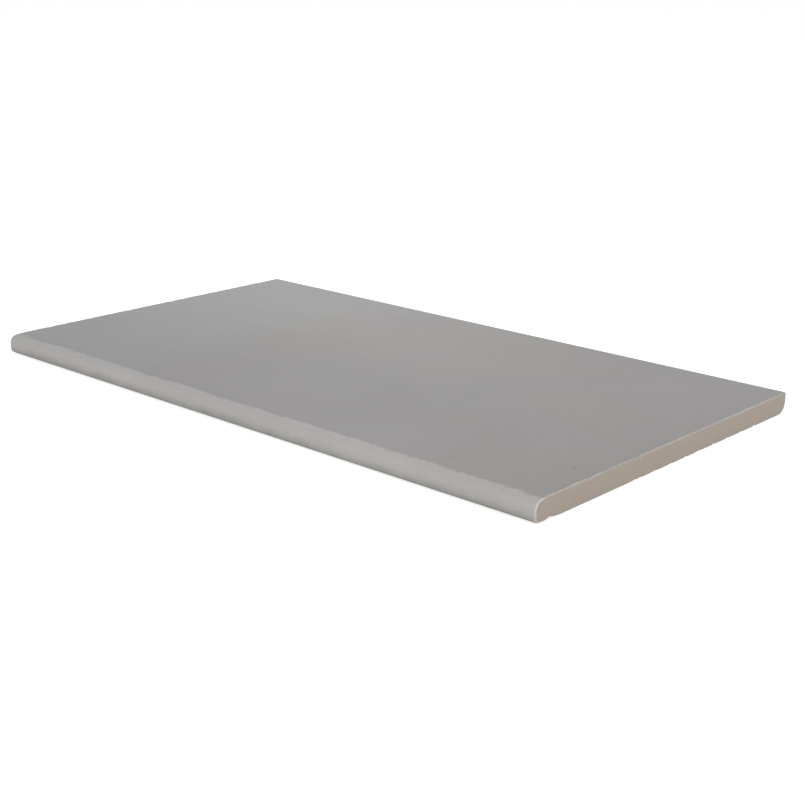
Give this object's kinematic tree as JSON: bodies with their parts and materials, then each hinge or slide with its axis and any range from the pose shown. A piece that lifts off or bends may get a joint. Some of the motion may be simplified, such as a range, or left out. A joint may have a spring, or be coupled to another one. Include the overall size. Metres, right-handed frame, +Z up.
{
  "type": "pool coping stone",
  "caption": "Flat glazed stoneware slab with one rounded nose edge and a drip groove, laid as the rim of a pool or a stair tread.",
  "frame": {"origin": "centre of the footprint on the bed plane, the flat underside that the slab is laid on", "axes": "+X along the nose, -Y towards the nose and the water, +Z up out of the glazed face"},
  "size_m": [0.6, 0.33, 0.017],
  "materials": {
    "glazed_stoneware": "satin grey concrete-look glaze on the top and the nose, bare tan fired body on the sawn ends, the back edge and the underside"
  },
  "bodies": {
    "root": {"coping_stone": "glazed_stoneware"}
  },
  "joints": []
}
